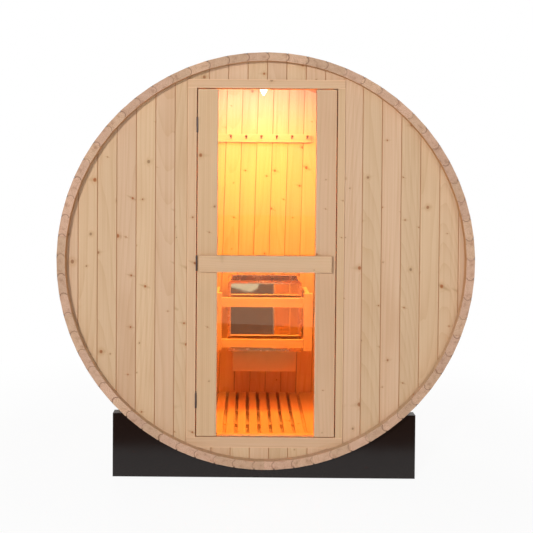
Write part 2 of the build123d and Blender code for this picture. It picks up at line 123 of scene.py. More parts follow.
class Finish:
    """A material under construction, with one method that adds any node and short names for common ones."""

    def __init__(self, name):
        self.material = bpy.data.materials.new(name)
        self.material.use_nodes = True
        self.tree = self.material.node_tree
        self.tree.nodes.clear()

    def node(self, kind, settings=None, inputs=None):
        """Adds a node of a kind, sets its settings first, then gives its sockets their values or links."""
        made = self.tree.nodes.new(kind)
        for name, value in (settings or {}).items():
            if name == "stops":
                self.set_stops(made.color_ramp, value)
            else:
                setattr(made, name, value)
        for name, value in (inputs or {}).items():
            socket = made.inputs[name]
            if isinstance(value, Number):
                self.tree.links.new(value.socket, socket)
            else:
                socket.default_value = value
        return made

    def set_stops(self, ramp, stops):
        while len(ramp.elements) < len(stops):
            ramp.elements.new(0.5)
        for element, (place, colour) in zip(ramp.elements, stops):
            element.position = place
            element.color = (*colour, 1.0)

    def out(self, node, name=0):
        return Number(self, node.outputs[name])

    def math(self, operation, *values):
        inputs = dict(enumerate(values))
        return self.out(self.node("ShaderNodeMath", {"operation": operation}, inputs))

    def between(self, value, low, high):
        """0 where the value is at low, 1 where it is at high, with soft ends."""
        settings = {"interpolation_type": "SMOOTHSTEP"}
        inputs = {"Value": value, "From Min": low, "From Max": high}
        return self.out(self.node("ShaderNodeMapRange", settings, inputs))

    def length(self, first, second):
        """The length of a flat vector from its two parts."""
        return self.math("SQRT", first * first + second * second)

    def place(self):
        """The point's own X, Y and Z in metres."""
        coordinate = self.node("ShaderNodeTexCoord")
        split = self.node("ShaderNodeSeparateXYZ", None, {0: self.out(coordinate, "Object")})
        return self.out(split, "X"), self.out(split, "Y"), self.out(split, "Z")

    def facing(self):
        """The X, Y and Z of the direction the flat surface faces."""
        geometry = self.node("ShaderNodeNewGeometry")
        split = self.node("ShaderNodeSeparateXYZ", None, {0: self.out(geometry, "True Normal")})
        return self.out(split, "X"), self.out(split, "Y"), self.out(split, "Z")

    def vector(self, x, y, z):
        return self.out(self.node("ShaderNodeCombineXYZ", None, {"X": x, "Y": y, "Z": z}))

    def noise(self, x, y, z, detail=2.0, roughness=0.5):
        """Smooth noise round 0.5 at a point whose parts are already scaled."""
        inputs = {"Vector": self.vector(x, y, z), "Scale": 1.0, "Detail": detail, "Roughness": roughness}
        return self.out(self.node("ShaderNodeTexNoise", None, inputs), "Fac")

    def chances(self, key):
        """Three random numbers from 0 to 1 that belong to a whole-number key."""
        white = self.node("ShaderNodeTexWhiteNoise", {"noise_dimensions": "1D"}, {"W": key})
        split = self.node("ShaderNodeSeparateColor", None, {0: self.out(white, "Color")})
        return self.out(split, 0), self.out(split, 1), self.out(split, 2)

    def mix(self, factor, first, second, blend="MIX"):
        settings = {"data_type": "RGBA", "blend_type": blend}
        node = self.node("ShaderNodeMix", settings, {0: factor, 6: colour_of(first), 7: colour_of(second)})
        return self.out(node, 2)

    def ramp(self, value, stops):
        return self.out(self.node("ShaderNodeValToRGB", {"stops": stops}, {0: value}), "Color")

    def bump(self, height, strength, depth):
        inputs = {"Height": height, "Strength": strength, "Distance": depth}
        return self.out(self.node("ShaderNodeBump", None, inputs), "Normal")

    def surface(self, inputs):
        shader = self.node("ShaderNodeBsdfPrincipled", None, inputs)
        output = self.node("ShaderNodeOutputMaterial", None, {"Surface": self.out(shader)})
        output.is_active_output = True
        return self.material

    def blend(self, factor, first, second):
        """Mixes two shader nodes by a factor."""
        inputs = {0: factor, 1: self.out(first), 2: self.out(second)}
        return self.out(self.node("ShaderNodeMixShader", None, inputs))

    def sight(self):
        """Two tests of a ray: whether the camera, a mirror or glass sees by it before any matt thing,
        and whether it comes through glass."""
        path = self.node("ShaderNodeLightPath")
        through_glass = self.out(path, "Is Transmission Ray")
        seen = self.math("MAXIMUM", self.out(path, "Is Camera Ray"), self.out(path, "Is Glossy Ray"))
        seen = self.math("MAXIMUM", seen, through_glass)
        first = self.math("LESS_THAN", self.out(path, "Diffuse Depth"), 0.5)
        return seen * first, through_glass


class Sky(Finish):
    """The world's own nodes, made the same way as a material's."""

    def __init__(self, name):
        world = bpy.data.worlds.new(name)
        bpy.context.scene.world = world
        world.use_nodes = True
        self.tree = world.node_tree
        self.tree.nodes.clear()


def colour_of(value):
    """A colour for a socket: a link stays, and three numbers get a fourth."""
    return value if isinstance(value, Number) else (*value, 1.0)


def screen(red, green, blue):
    """A screen colour from 0 to 255 as the light it stands for."""
    shares = [part / 255 for part in (red, green, blue)]
    return tuple(s / 12.92 if s <= 0.04045 else ((s + 0.055) / 1.055) ** 2.4 for s in shares)


def lighter(colour, factor):
    return tuple(min(1.0, part * factor) for part in colour)


# Woods: the colours of pale earlywood, of latewood lines and of knots
PINE = (screen(215, 182, 149), screen(195, 154, 115), screen(140, 82, 44))
FRAME_PINE = (screen(213, 178, 143), screen(197, 157, 119), screen(138, 82, 46))
STAVE_PINE = (screen(212, 178, 146), screen(192, 150, 114), screen(140, 92, 54))
REAR_PINE = (screen(216, 182, 142), screen(196, 152, 108), screen(104, 66, 30))
FLOOR_PINE = (screen(214, 180, 142), screen(200, 158, 118), screen(140, 84, 44))
PEG_PINE = (screen(112, 70, 40), screen(86, 50, 26), screen(60, 34, 18))

# Seams between boards: their colour, and how far it reaches from the joint
SEAM_BROWN = (screen(184, 128, 84), 0.0026)
SEAM_OLIVE = (screen(118, 100, 46), 0.0019)

# The staves' ends in pale wood, rings and stains, their joints, and the painted shade on their inner faces
# high up
END_GRAIN = (screen(213, 178, 152), screen(170, 128, 100), screen(136, 88, 60))
JOINT_BROWN = screen(112, 66, 42)
PAINTED_SHADE_BROWN = screen(196, 140, 88)

# Knots and growth rings, in metres. A cell, so wide and so long, holds one knot at most.
# Radius and width are the least ones, and growth and spread are what chance adds.
BOARD_CELL = (0.083, 0.19)
STAVE_CELL = (0.085, 0.3)
KNOT_RADIUS = 0.0019
KNOT_GROWTH = 0.0058
RING_WIDTH = 0.0022
RING_SPREAD = 0.0024

# How far from its edge a board's painted arris highlight or its seam begins to fade, and where the painted
# arris highlight ends
FADE_START = 0.0008
PAINTED_ARRIS_END = 0.0036


def wood_colours(finish, run, across, deep, woods, chances, knot_cell, knots):
    """Colour, height and roughness of planed softwood at a point given along, across and into a board.
    Growth rings are circles round a pith line that leans along the board, so a face shows fine long arches.
    A knot is a small ringed eye at a random point of a cell, with a smear of leaning grain beside it."""
    early, late, knot_wood = woods
    first, second, third = chances
    run = run + first * 9.0
    local = across
    across = across + second * 5.0
    cell_across, cell_run = knot_cell
    point = finish.vector(across / cell_across, run / cell_run, 0.0)
    settings = {"voronoi_dimensions": "2D", "feature": "F1"}
    inputs = {"Vector": point, "Scale": 1.0, "Randomness": 0.9}
    cells = finish.node("ShaderNodeTexVoronoi", settings, inputs)
    centre = finish.node("ShaderNodeSeparateXYZ", None, {0: finish.out(cells, "Position")})
    luck = finish.node("ShaderNodeSeparateColor", None, {0: finish.out(cells, "Color")})
    size_luck, there_luck, tone_luck = (finish.out(luck, part) for part in range(3))
    off_across = across - finish.out(centre, "X") * cell_across
    off_run = (run - finish.out(centre, "Y") * cell_run) * 0.85
    ragged = (finish.noise(across * 260.0, run * 260.0, 0.0, 1.0) - 0.5) * 0.0022
    off = finish.length(off_across, off_run) + ragged
    radius = KNOT_RADIUS + size_luck * size_luck * KNOT_GROWTH
    there = there_luck.above(1.0 - knots)
    share = off / radius
    knot = (1.0 - finish.between(share, 0.75, 1.25)) * there
    halo = (1.0 - finish.between(share, 0.9, 3.8)) * there
    tilt = off_run + off_across * (tone_luck - 0.5) * 0.9
    smear_across = off_across * 0.17
    smear_off = finish.length(smear_across, tilt)
    smear = (1.0 - finish.between(smear_off / radius, 0.25, 1.35)) * there * tone_luck
    wobble = finish.noise(run * 1.3, across * 9.0, deep * 9.0, 2.0) - 0.5
    lean = (finish.noise(run * 0.4, first * 40.0, 0.0, 0.0) - 0.5) * 0.09
    height = deep + 0.03 + second * 0.09 + lean
    side = local - (third - 0.5) * 0.14
    ring = finish.length(side, height) + wobble * 0.007 + halo * 0.002
    band = (ring / (RING_WIDTH + first * RING_SPREAD)).fraction()
    latewood = band * band * band
    fibre = finish.noise(across * 900.0, deep * 900.0, run * 14.0, 3.0, 0.6)
    streak = finish.noise(across * 95.0, deep * 90.0, run * 0.8, 2.0)
    fine_streak = finish.noise(across * 240.0, deep * 240.0, run * 1.6, 2.0)
    patch = finish.noise(across * 6.0, run * 1.8, deep * 5.0, 2.0)
    late_share = latewood * 0.34 + finish.between(streak, 0.42, 0.74) * 0.3
    late_share = late_share + (fine_streak - 0.5) * 0.65 + (fibre - 0.5) * 0.35
    colour = finish.mix(late_share, early, late)
    colour = finish.mix(finish.between(patch, 0.5, 0.8) * 0.4, colour, lighter(late, 0.97))
    colour = finish.mix(finish.between(patch, 0.45, 0.2) * 0.35, colour, lighter(early, 1.06))
    colour = finish.mix(halo * 0.4, colour, late)
    colour = finish.mix(smear * 0.75, colour, lighter(late, 0.88))
    eye = finish.between(share, 0.15, 0.75)
    ringed = finish.mix(eye, knot_wood, lighter(knot_wood, 1.7))
    soft_knot = finish.mix(finish.between(tone_luck, 0.0, 0.6), lighter(late, 0.6), ringed)
    colour = finish.mix(knot * 0.92, colour, soft_knot)
    relief = fibre * 0.5 + latewood * 0.25 + knot * 0.5
    roughness = 0.5 + fibre * 0.14 - latewood * 0.05 - knot * 0.1
    return colour, relief, roughness


def board_tone(finish, colour, chances, spread):
    """Lightens or darkens a whole board, and leans it to pink or to straw."""
    first, second, third = chances
    tint = finish.mix(finish.between(third, 0.25, 0.75), (0.99, 0.998, 0.965), (1.005, 0.989, 1.006))
    colour = finish.mix(1.0, colour, tint, "MULTIPLY")
    light = 1.0 - spread + second * (2 * spread)
    grey = finish.node("ShaderNodeCombineColor", None, {0: light, 1: light, 2: light})
    return finish.mix(1.0, colour, finish.out(grey), "MULTIPLY")


def wood_surface(finish, colour, relief, roughness):
    normal = finish.bump(relief, 0.35, 0.0006)
    return finish.surface({"Base Color": colour, "Roughness": roughness, "Normal": normal, "IOR": 1.45})


def board_wood(name, woods, along, across, seam, pitch, key, turn=0.0, knots=0.7, spread=0.05, edges=None,
               groove=SEAM_BROWN):
    """Softwood boards that run along one axis and lie side by side across another, each a piece of its own.
    A board's number is how many pitches its point lies from the seam. The seams between boards are dark.
    A lone piece has two edges instead, and its arrises and edge faces get a painted highlight: they are
    made paler, as if lit."""
    finish = Finish(name)
    x, y, z = finish.place()
    up = z - AXIS_HEIGHT
    if turn:
        x, up = x * math.cos(turn) - up * math.sin(turn), up * math.cos(turn) + x * math.sin(turn)
    parts = {"x": x, "y": y, "z": up}
    deep = parts[({"x", "y", "z"} - {along, across}).pop()]
    run, wide = parts[along], parts[across]
    number = ((wide - seam) / pitch).floor()
    chances = finish.chances(number + key)
    local = wide - (number + 0.5) * pitch - seam
    colour, relief, roughness = wood_colours(finish, run, local, deep, woods, chances, BOARD_CELL, knots)
    colour = board_tone(finish, colour, chances, spread)
    if edges:
        low, high = edges
        # Painted highlight: a lone piece's arrises and the faces of its edges are made paler, as if light
        # caught them
        from_edge = (high - low) / 2 - (wide - (low + high) / 2).size()
        pale = (1.0 - finish.between(from_edge, FADE_START, PAINTED_ARRIS_END)) * 0.8
        painted_edge_face_light = finish.facing()["xyz".index(across)].size().above(FACING) * 0.85
        colour = finish.mix(finish.math("MAXIMUM", pale, painted_edge_face_light), colour, lighter(woods[0], 1.24))
    else:
        seam_colour, reach = groove
        from_seam = pitch / 2 - local.size()
        dark = (1.0 - finish.between(from_seam, FADE_START, reach)) * 0.75
        colour = finish.mix(dark, colour, seam_colour)
    return wood_surface(finish, colour, relief, roughness)


def joint_line(finish, angle, away):
    """How far a point of a stave's end lies from the nearest joint, and how far it lies in the outer notch.
    Between the shoulders the joint is the arc of the bead, and beyond them it is straight."""
    tilt = math.cos(STAVE_PITCH / 2)
    low = (STAVE_INSIDE + BEAD_SHOULDER) / tilt
    high = (STAVE_OUTSIDE - BEAD_SHOULDER) / tilt
    middle = (low + high) / 2
    half_chord = (high - low) / 2
    radius = (half_chord ** 2 + BEAD_DEPTH ** 2) / (2 * BEAD_DEPTH)
    nearest = (angle / STAVE_PITCH + 0.5).floor() * STAVE_PITCH
    sideways = (angle - nearest) * away
    outwards = away - middle
    from_centre = sideways + (radius - BEAD_DEPTH)
    to_arc = (finish.length(outwards, from_centre) - radius).size()
    on_bead = (half_chord - outwards.size()).above(0.0) * sideways.above(-BEAD_MARGIN)
    straight = sideways.size()
    distance = to_arc * on_bead + straight * (1.0 - on_bead)
    notch = outwards - (half_chord - NOTCH_DEPTH) - straight * NOTCH_SLOPE
    return distance, notch


def stave_wood(name):
    """Staves: long grain on their flats, and growth rings, pores and dark bead joints on their ends.
    A stave's number is the angle about the barrel's axis over one stave's angle. The inner faces get
    painted
    shade: they turn browner going up, fully so a little above the axis."""
    finish = Finish(name)
    x, y, z = finish.place()
    up = z - AXIS_HEIGHT
    angle = finish.math("ARCTAN2", x, up)
    number = (angle / STAVE_PITCH).floor()
    chances = finish.chances(number + 311.0)
    first, second, third = chances
    away = finish.length(x, up)
    local = (angle - (number + 0.5) * STAVE_PITCH) * away
    deep = away - STAVE_INSIDE
    colour, relief, roughness = wood_colours(
        finish, y, local, deep, STAVE_PINE, chances, STAVE_CELL, knots=0.55
    )
    colour = board_tone(finish, colour, chances, 0.06)
    early, late, stain_and_notch_shade = END_GRAIN
    side = local - (first - 0.5) * 0.06
    height = deep + 0.03 - second * 0.1
    wobble = (finish.noise(x * 70.0, up * 70.0, third * 9.0, 2.0) - 0.5) * 0.005
    ring = finish.length(side, height) + wobble
    band = (ring / (0.0038 + third * 0.0032)).fraction()
    mottle = finish.noise(x * 210.0, up * 210.0, number * 3.0, 3.0, 0.65)
    stain = finish.noise(x * 40.0, up * 40.0, number * 7.0, 2.0)
    share = band * band * band * 0.75 + finish.between(mottle, 0.36, 0.7) * 0.42 + (stain - 0.5) * 0.7
    cut = finish.mix(share, early, late)
    cut = finish.mix(finish.between(stain, 0.55, 0.8) * 0.45, cut, stain_and_notch_shade)
    cut = board_tone(finish, cut, (first, third, second), 0.09)
    distance, notch = joint_line(finish, angle, away)
    seam = 1.0 - finish.between(distance, 0.0004, 0.0024)
    painted_notch_shade = finish.between(notch, -0.0012, 0.0014)
    cut = finish.mix(seam * (0.5 + first * 0.5), cut, JOINT_BROWN)
    # Painted shade: each joint's outer notch is painted dark, from the stain colour darkened
    cut = finish.mix(painted_notch_shade * 0.9, cut, lighter(stain_and_notch_shade, 0.22))
    on_end = finish.facing()[1].size().above(FACING)
    # Painted shade: the inner faces near the front turn brown from half a metre below the axis upwards
    painted_inner_shade = (1.0 - finish.between(deep, 0.001, 0.004)) * finish.between(up, -0.5, 0.1) * 0.8
    colour = finish.mix(painted_inner_shade, colour, PAINTED_SHADE_BROWN)
    colour = finish.mix(on_end, colour, cut)
    relief = relief * (1.0 - on_end) + (band * 0.5 + mottle - seam) * on_end
    roughness = roughness + on_end * 0.12
    return wood_surface(finish, colour, relief, roughness)


def gloss_black(name):
    """Black coated panel: brush-fine ripple in the gloss, paler and rougher speckle low down, and paler
    worn specks all over.
    """
    finish = Finish(name)
    x, y, z = finish.place()
    ripple = finish.noise(x * 9.0, y * 9.0, z * 9.0, 3.0)
    speck = finish.noise(x * 420.0, y * 420.0, z * 420.0, 2.0, 0.7)
    # Paler, rougher speckle towards the bottom
    pale_low_speckle = (1.0 - finish.between(z, 0.0, 0.07)) * finish.between(speck, 0.5, 0.75) * 0.35
    worn = finish.between(speck, 0.72, 0.8) * 0.3
    colour = finish.mix(pale_low_speckle, screen(26, 18, 16), screen(72, 62, 56))
    colour = finish.mix(worn, colour, screen(66, 54, 50))
    normal = finish.bump(ripple * 0.7 + speck * 0.06, 0.12, 0.004)
    roughness = 0.16 + ripple * 0.1 + pale_low_speckle * 0.5
    return finish.surface({"Base Color": colour, "Roughness": roughness, "Normal": normal, "IOR": 1.38})


def polished_steel(name, tone, smooth, rough, lean=(0.0, 0.0)):
    """Sheet steel with a slight buckle, fine rubbing marks and smears. The sheet can lean in X and in Z."""
    finish = Finish(name)
    x, y, z = finish.place()
    buckle = finish.noise(x * 5.0, y * 5.0, z * 5.0, 1.0) * 0.0008
    rub = finish.noise(x * 40.0, y * 40.0, z * 1400.0, 2.0)
    smear = finish.noise(x * 22.0, y * 22.0, z * 22.0, 3.0)
    colour = finish.mix(finish.between(smear, 0.4, 0.8) * 0.3, tone, lighter(tone, 0.8))
    roughness = smooth + (finish.between(smear, 0.45, 0.8) + rub * 0.4) * rough
    height = buckle + rub * 0.000004 + x * lean[0] + z * lean[1]
    normal = finish.bump(height, 1.0, 1.0)
    inputs = {"Base Color": colour, "Metallic": 1.0, "Roughness": roughness, "Normal": normal}
    return finish.surface(inputs)


def clear_glass(name):
    """Clear toughened glass with a faint green body and a slow roller ripple."""
    finish = Finish(name)
    x, y, z = finish.place()
    ripple = finish.noise(x * 3.0, y * 3.0, z * 11.0, 1.0)
    colour = finish.mix(ripple, (0.985, 1.0, 0.993), (0.975, 0.998, 0.988))
    normal = finish.bump(ripple, 0.03, 0.002)
    inputs = {
        "Base Color": colour,
        "Roughness": 0.0,
        "IOR": 1.45,
        "Transmission Weight": 1.0,
        "Normal": normal,
    }
    return finish.surface(inputs)


def stone(name):
    """Dark broken stone: mineral grains, rust stains and chipped relief."""
    finish = Finish(name)
    x, y, z = finish.place()
    grain = finish.noise(x * 700.0, y * 700.0, z * 700.0, 3.0, 0.7)
    patch = finish.noise(x * 42.0, y * 42.0, z * 42.0, 3.0)
    rust = finish.noise(x * 25.0, y * 25.0, z * 25.0 + 40.0, 2.0)
    colour = finish.mix(finish.between(patch, 0.35, 0.68), screen(70, 42, 28), screen(108, 74, 52))
    colour = finish.mix(finish.between(grain, 0.56, 0.7) * 0.5, colour, screen(128, 96, 70))
    colour = finish.mix(finish.between(rust, 0.58, 0.7) * 0.5, colour, screen(120, 78, 50))
    normal = finish.bump(grain * 0.35 + patch, 0.7, 0.004)
    return finish.surface({"Base Color": colour, "Roughness": 0.72 + grain * 0.2, "Normal": normal})


def dark_metal(name):
    """Satin hinge metal, rubbed brighter in fine lines."""
    finish = Finish(name)
    x, y, z = finish.place()
    rub = finish.noise(x * 300.0, y * 300.0, z * 1800.0, 2.0)
    patch = finish.noise(x * 120.0, y * 120.0, z * 120.0, 2.0)
    colour = finish.mix(finish.between(rub, 0.5, 0.75), screen(104, 90, 92), screen(150, 136, 134))
    normal = finish.bump(rub, 0.2, 0.0003)
    roughness = 0.32 + patch * 0.22
    inputs = {"Base Color": colour, "Metallic": 0.85, "Roughness": roughness, "Normal": normal}
    return finish.surface(inputs)


def lit_glass(name):
    """Frosted glass lit from inside, its glow and surface varied by a faint pressed grain."""
    finish = Finish(name)
    x, y, z = finish.place()
    grain = finish.noise(x * 500.0, y * 500.0, z * 500.0, 2.0)
    glow = finish.mix(finish.between(grain, 0.3, 0.7), (1.0, 0.83, 0.5), (1.0, 0.9, 0.62))
    inputs = {
        "Base Color": (0.95, 0.92, 0.84, 1.0),
        "Roughness": 0.35 + grain * 0.2,
        "Emission Color": glow,
        "Emission Strength": 7.0,
        "Normal": finish.bump(grain, 0.2, 0.0005),
    }
    return finish.surface(inputs)


def glazed_white(name):
    """White glazed lamp base with faint speckle."""
    finish = Finish(name)
    x, y, z = finish.place()
    speck = finish.noise(x * 600.0, y * 600.0, z * 600.0, 2.0)
    speckled = finish.between(speck, 0.62, 0.72) * 0.4
    colour = finish.mix(speckled, screen(238, 235, 226), screen(196, 188, 172))
    return finish.surface({"Base Color": colour, "Roughness": 0.25 + speck * 0.1, "Coat Weight": 0.3})


def dress(name, material):
    """Gives a CAD node its finish."""
    mesh = nodes[name].data
    mesh.materials.clear()
    mesh.materials.append(material)


def lone_wood(name, woods, along, across, key, knots, edges):
    """A piece that is one board: its seam lies off it, and its tone hardly varies."""
    return board_wood(name, woods, along, across, LONE_SEAM, LONE_PITCH, key, 0.0, knots, 0.02, edges)


def slat_wood(name):
    """The duckboard's slats, one board from gap to gap."""
    return board_wood(
        name, FLOOR_PINE, "y", "x", SLAT_FIRST_GAP, SLAT_PITCH, 260.0, knots=0.4, edges=NO_EDGES
    )


def peg_wood(name):
    """Dark turned wood without knots."""
    return lone_wood(name, PEG_PINE, "y", "x", 300.0, 0.0, NO_EDGES)


# The frame's own solids. Each wood has a key of its own for its random tones.
for number in range(1, 6):
    dress(f"stave_group_{number}", stave_wood(f"stave_softwood_{number}"))
wall_rows = {
    "front_wall_left": (-0.395, 11.0),
    "front_wall_right": (0.418, 47.0),
    "front_wall_top": (0.003, 83.0),
    "front_wall_bottom": (0.020, 119.0),
}
for name, (seam, key) in wall_rows.items():
    dress(name, board_wood(f"{name}_boards", PINE, "z", "x", seam, WALL_BOARD, key))
rear_wood = board_wood(
    "rear_wall_boards", REAR_PINE, "z", "x", REAR_SEAM, REAR_BOARD, 155.0,
    turn=REAR_TURN, knots=0.4, groove=SEAM_OLIVE,
)
dress("rear_wall", rear_wood)
lone = {
    "door_head": ("x", "z", FRAME_PINE, 0.5),
    "door_sill": ("x", "z", FRAME_PINE, 0.4),
    "door_jamb_hinge_side": ("z", "x", FRAME_PINE, 0.5),
    "door_jamb_free_side": ("z", "x", FRAME_PINE, 0.5),
    "door_hinge_stile": ("z", "x", FRAME_PINE, 0.55),
    "door_free_stile": ("z", "x", FRAME_PINE, 0.55),
    "door_cross_bar": ("x", "z", FRAME_PINE, 0.55),
    "floor_front_board": ("x", "y", FLOOR_PINE, 0.4),
    "floor_battens": ("x", "y", FLOOR_PINE, 0.4),
    "hook_rail": ("x", "z", REAR_PINE, 0.3),
    "guard_posts": ("z", "x", FLOOR_PINE, 0.4),
    "guard_front_rails": ("x", "z", FLOOR_PINE, 0.4),
    "guard_side_rails": ("y", "z", FLOOR_PINE, 0.4),
}
for key, (name, (along, across, woods, knots)) in enumerate(lone.items()):
    axis = "xyz".index(across)
    offset = AXIS_HEIGHT if across == "z" else 0.0
    edges = [corner[axis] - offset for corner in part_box(name)]
    dress(name, lone_wood(f"{name}_wood", woods, along, across, 200.0 + key, knots, edges))
dress("floor_slats", slat_wood("slat_boards"))
black = gloss_black("cradle_black_gloss")
dress("front_cradle", black)
dress("rear_cradle", black)
hoop_steel = polished_steel("hoop_steel", (0.53, 0.53, 0.54), 0.16, 0.25)
for name in ("front_hoop", "rear_hoop", "hoop_bolts"):
    dress(name, hoop_steel)
# Painted reflection: the stove's steel tones are tinted warm, the body and base strongly orange, for the
# cabin's warm wood they mirror
panel_steel = polished_steel("stove_polished_steel", (0.84, 0.76, 0.66), 0.004, 0.022, (-0.123, 0.035))
body_steel = polished_steel("stove_body_steel", (0.86, 0.66, 0.42), 0.20, 0.12)
satin_steel = polished_steel("stove_satin_steel", (0.74, 0.43, 0.18), 0.26, 0.14)
dress("stove_body", body_steel)
dress("stove_base", satin_steel)
dress("stove_brackets", satin_steel)
dress("door_glass", clear_glass("door_clear_glass"))
hinge_metal = dark_metal("hinge_satin_metal")
for name in ("hinge_frame_plates", "hinge_leaf_plates", "hinge_pins"):
    dress(name, hinge_metal)
dress("stove_stones", stone("stove_stone"))
dress("hook_pegs", peg_wood("peg_node_wood"))
dress("lamp_base", glazed_white("lamp_base_glaze"))
dress("lamp_glass", lit_glass("lamp_node_glass"))


def sheet_mesh(name, points, faces):
    """A mesh object from arrays of points and faces. Points that coincide at seams and poles are joined."""
    mesh = bpy.data.meshes.new(name)
    mesh.from_pydata(points.tolist(), [], faces.tolist())
    shape = bmesh.new()
    shape.from_mesh(mesh)
    bmesh.ops.remove_doubles(shape, verts=shape.verts, dist=JOIN_DISTANCE)
    shape.to_mesh(mesh)
    shape.free()
    mesh.update()
    made = bpy.data.objects.new(name, mesh)
    bpy.context.scene.collection.objects.link(made)
    return made


def grid_faces(rows, columns):
    """Faces of a grid of points in closed rows. They face out if the rows go up or inwards."""
    row, column = np.meshgrid(np.arange(rows - 1), np.arange(columns), indexing="ij")
    after = (column + 1) % columns
    low, high = row * columns, (row + 1) * columns
    corners = (low + column, low + after, high + after, high + column)
    return np.stack(corners, axis=-1).reshape(-1, 4)


def piece(name, points, faces, material, smooth=True, instead_of=()):
    """Adds a piece of the cabin made of a grid surface, and hides the CAD nodes it stands for."""
    made = sheet_mesh(name, points, faces)
    made.data.polygons.foreach_set("use_smooth", np.full(len(made.data.polygons), smooth))
    made.data.materials.append(material)
    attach(made, "cabin")
    if instead_of:
        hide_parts(*instead_of)
    return made


def several(points, faces, count):
    """The faces of many equal grids whose points follow each other."""
    steps = np.arange(count)[:, None, None] * points
    return (faces[None] + steps).reshape(-1, 4)


def turned_profile(radii, heights, sides):
    """A turned surface: x = r cos t, y = r sin t, z = h, for each radius r and height h of the profile."""
    turn = np.linspace(0.0, 2 * np.pi, sides, endpoint=False)
    x = radii[:, None] * np.cos(turn)
    y = radii[:, None] * np.sin(turn)
    z = np.repeat(heights[:, None], sides, axis=1)
    return np.stack((x, y, z), axis=-1).reshape(-1, 3)


def soft_lines(made, width, segments=2, angle=35.0):
    """Rounds the sharp edges of a piece and keeps its flats flat."""
    rounded = made.modifiers.new("edge_rounding", "BEVEL")
    rounded.width = width
    rounded.segments = segments
    rounded.limit_method = "ANGLE"
    rounded.angle_limit = math.radians(angle)
    rounded.harden_normals = True


PEG_COUNT = 7
PEG_PITCH = 0.082
PEG_TILT = math.radians(12.0)
PEG_STEM = 0.0034
PEG_NECK = 0.037
PEG_KNOB = 0.0068
PEG_SIDES = 14


def turned_pegs():
    """Seven turned pegs: a thin stem, and a knob whose profile is an arc from -60 to 90 degrees."""
    arc = np.radians(np.linspace(-60.0, 90.0, 9))
    radii = np.concatenate(((0.0, PEG_STEM, PEG_STEM), PEG_KNOB * np.cos(arc)))
    along = np.concatenate(((0.0, 0.0, PEG_NECK), PEG_NECK + PEG_KNOB * (np.sin(arc) + 0.9)))
    one = turned_profile(radii, along, PEG_SIDES)
    outwards = np.array((0.0, -math.cos(PEG_TILT), math.sin(PEG_TILT)))
    across = np.array((1.0, 0.0, 0.0))
    up = np.cross(outwards, across)
    one = one[:, :1] * across + one[:, 1:2] * up + one[:, 2:] * outwards
    low, high = (np.array(corner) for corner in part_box("hook_rail"))
    middle = (low + high) / 2
    seat = np.array((middle[0], low[1] - PEG_STEM * math.tan(PEG_TILT), middle[2]))
    steps = (np.arange(PEG_COUNT) - (PEG_COUNT - 1) / 2) * PEG_PITCH
    places = seat + steps[:, None] * across
    points = (one[None] + places[:, None]).reshape(-1, 3)
    faces = several(len(one), grid_faces(len(radii), PEG_SIDES), PEG_COUNT)
    piece("turned_hook_pegs", points, faces, peg_wood("peg_wood"), instead_of=("hook_pegs",))


LAMP_SIDES = 48
LAMP_EASE = 0.0008


def turned_lamp():
    """The lamp's glass is turned from r = R (0.25 sqrt s + 0.75 s), with s from the tip up.
    Its base is a disc whose lower edge is a quarter of an ellipse."""
    for node, material, slot_name in (
        ("lamp_glass", lit_glass("lamp_lit_glass"), "lamp_glass"),
        ("lamp_base", glazed_white("lamp_white_glaze"), "lamp_base"),
    ):
        low, high = (np.array(corner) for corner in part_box(node))
        middle = (low + high) / 2
        radius = (high[0] - low[0]) / 2
        if node == "lamp_glass":
            share = np.linspace(0.0, 1.0, 16) ** 2
            radii = np.append(radius * (0.25 * np.sqrt(share) + 0.75 * share), 0.0)
            heights = np.append(share, 1.0)
        else:
            bend = np.radians(np.linspace(0.0, 90.0, 7))
            radii = np.concatenate(((0.0,), radius * (0.84 + 0.16 * np.sin(bend)), (radius, 0.0)))
            heights = np.concatenate(((0.0,), 0.6 * (1 - np.cos(bend)), (1.0, 1.0)))
        points = turned_profile(radii, low[2] + heights * (high[2] - low[2]), LAMP_SIDES)
        points[:, :2] += middle[:2]
        faces = grid_faces(len(radii), LAMP_SIDES)
        made = piece(f"turned_{node}", points, faces, material, instead_of=(node,))
        soft_lines(made, LAMP_EASE)


def corner_turns(steps=6):
    """The angles round a rounded rectangle, and on which side of its middle each one's corner lies."""
    quarter = np.linspace(0.0, np.pi / 2, steps)
    turn = np.concatenate([quarter + quadrant * np.pi / 2 for quadrant in range(4)])
    diagonal = turn - np.tile(quarter, 4) + np.pi / 4
    return turn, np.sign(np.cos(diagonal)), np.sign(np.sin(diagonal))


def loop(half_x, half_y, corner, middle_x, middle_y, height):
    """A rounded rectangle of points at a height, anticlockwise from its right side."""
    corner = min(corner, half_x, half_y)
    turn, side_x, side_y = corner_turns()
    x = middle_x + side_x * (half_x - corner) + corner * np.cos(turn)
    y = middle_y + side_y * (half_y - corner) + corner * np.sin(turn)
    return np.stack((x, y, np.full(len(turn), height)), axis=-1)


